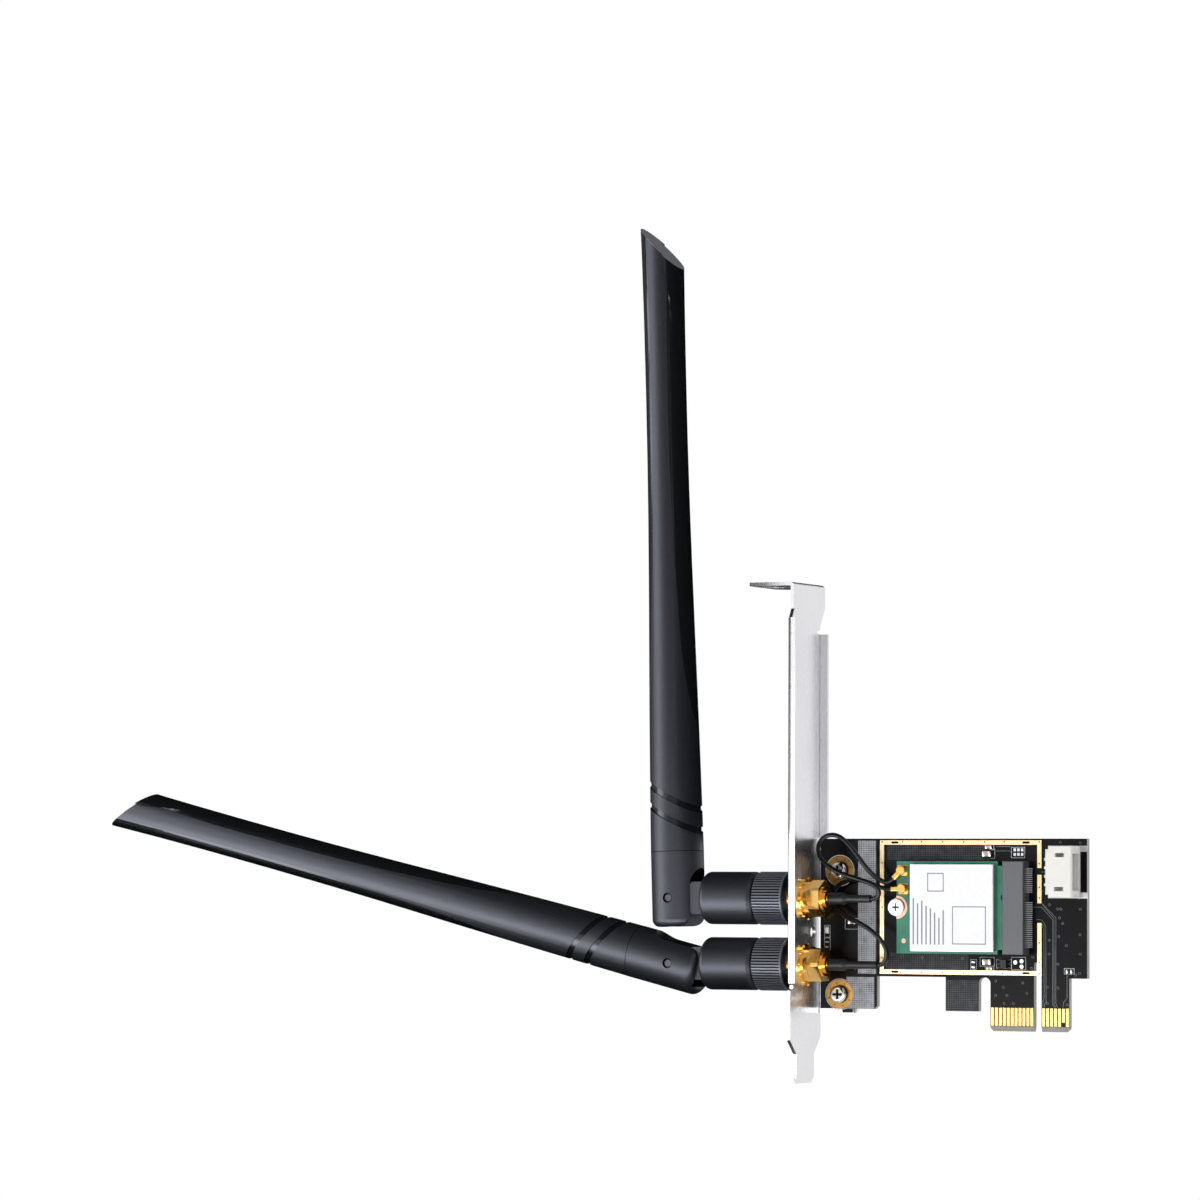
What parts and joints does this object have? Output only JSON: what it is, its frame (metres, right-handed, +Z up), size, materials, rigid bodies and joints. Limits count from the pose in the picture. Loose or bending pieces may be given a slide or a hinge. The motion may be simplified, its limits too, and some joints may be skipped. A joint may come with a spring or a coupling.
{
  "type": "pcie wifi card",
  "caption": "A plug-in wireless card with a full-height bracket, a socketed radio module, two coaxial leads and two hinged antennas.",
  "frame": {"origin": "the middle of the key notch in the card's contact tongue, on the tongue's lower edge and in the board's component face", "axes": "+X along the card away from its bracket, +Y from the component face towards the solder face, +Z up from the contact tongue towards the bracket's tab"},
  "size_m": [0.2643, 0.0204, 0.2082],
  "materials": {
    "screw_steel": "polished",
    "nickel_steel": "satin",
    "ceramic_tan": "satin",
    "board_black": "satin",
    "gold_plate": "polished",
    "tinned_copper": "satin",
    "antenna_black": "satin",
    "gold_brass": "polished",
    "ptfe_white": "matte",
    "lead_black": "satin",
    "shrink_black": "matte",
    "radio_green": "satin",
    "chip_black": "matte",
    "label_white": "matte",
    "bare_copper": "satin",
    "brass_tinned": "satin",
    "shield_tin": "satin",
    "socket_grey": "matte",
    "lamp_white": "gloss",
    "header_white": "matte"
  },
  "bodies": {
    "card": {"board_screws": "screw_steel", "bracket": "nickel_steel", "capacitors": "ceramic_tan", "circuit_board": "board_black", "edge_contacts": "gold_plate", "ground_fence": "gold_plate", "header_pins": "tinned_copper", "header_tabs": "tinned_copper", "lower_jack": "gold_brass", "lower_jack_insulator": "ptfe_white", "lower_jack_pin": "gold_brass", "lower_lead": "lead_black", "lower_lead_plug": "tinned_copper", "lower_lock_washer": "gold_brass", "lower_nut": "gold_brass", "lower_sleeve": "shrink_black", "radio_board": "radio_green", "radio_chip": "chip_black", "radio_jacks": "gold_plate", "radio_label": "label_white", "radio_pads": "bare_copper", "radio_post": "brass_tinned", "radio_screw": "screw_steel", "radio_shield": "shield_tin", "radio_socket": "socket_grey", "regulator": "chip_black", "resistors": "chip_black", "screw_pads": "gold_plate", "socket_contacts": "tinned_copper", "status_lamp": "lamp_white", "test_pads": "tinned_copper", "upper_jack": "gold_brass", "upper_jack_insulator": "ptfe_white", "upper_jack_pin": "gold_brass", "upper_lead": "lead_black", "upper_lead_plug": "tinned_copper", "upper_lock_washer": "gold_brass", "upper_nut": "gold_brass", "upper_sleeve": "shrink_black", "usb_header": "header_white"},
    "upper_collar_body": {"upper_collar": "antenna_black", "upper_collar_insert": "gold_brass"},
    "upper_base_body": {"upper_base": "antenna_black", "upper_ferrule": "gold_brass", "upper_hinge_pin": "antenna_black"},
    "upper_whip_body": {"upper_clevis": "antenna_black", "upper_radome": "antenna_black", "upper_radiator": "gold_brass"},
    "lower_collar_body": {"lower_collar": "antenna_black", "lower_collar_insert": "gold_brass"},
    "lower_base_body": {"lower_base": "antenna_black", "lower_ferrule": "gold_brass", "lower_hinge_pin": "antenna_black"},
    "lower_whip_body": {"lower_clevis": "antenna_black", "lower_radome": "antenna_black", "lower_radiator": "gold_brass"}
  },
  "joints": [
    {"name": "upper_collar_turn", "type": "hinge", "parent": "card", "child": "upper_collar_body", "pos_m": [-0.069, -0.00695, 0.0312], "axis": [1, 0, 0], "continuous": true},
    {"name": "upper_swivel", "type": "hinge", "parent": "card", "child": "upper_base_body", "pos_m": [-0.06922, -0.00695, 0.0312], "axis": [1, 0, 0], "range_deg": [-100, 100]},
    {"name": "upper_tilt", "type": "hinge", "parent": "upper_base_body", "child": "upper_whip_body", "pos_m": [-0.09085, -0.00695, 0.0312], "axis": [0, 1, 0], "range_deg": [-75, 1.75]},
    {"name": "lower_collar_turn", "type": "hinge", "parent": "card", "child": "lower_collar_body", "pos_m": [-0.069, -0.00695, 0.0154], "axis": [1, 0, 0], "continuous": true},
    {"name": "lower_swivel", "type": "hinge", "parent": "card", "child": "lower_base_body", "pos_m": [-0.06922, -0.00695, 0.0154], "axis": [1, 0, 0], "continuous": true},
    {"name": "lower_tilt", "type": "hinge", "parent": "lower_base_body", "child": "lower_whip_body", "pos_m": [-0.09085, -0.00695, 0.0154], "axis": [0, 1, 0], "range_deg": [-13.7, 0]}
  ]
}
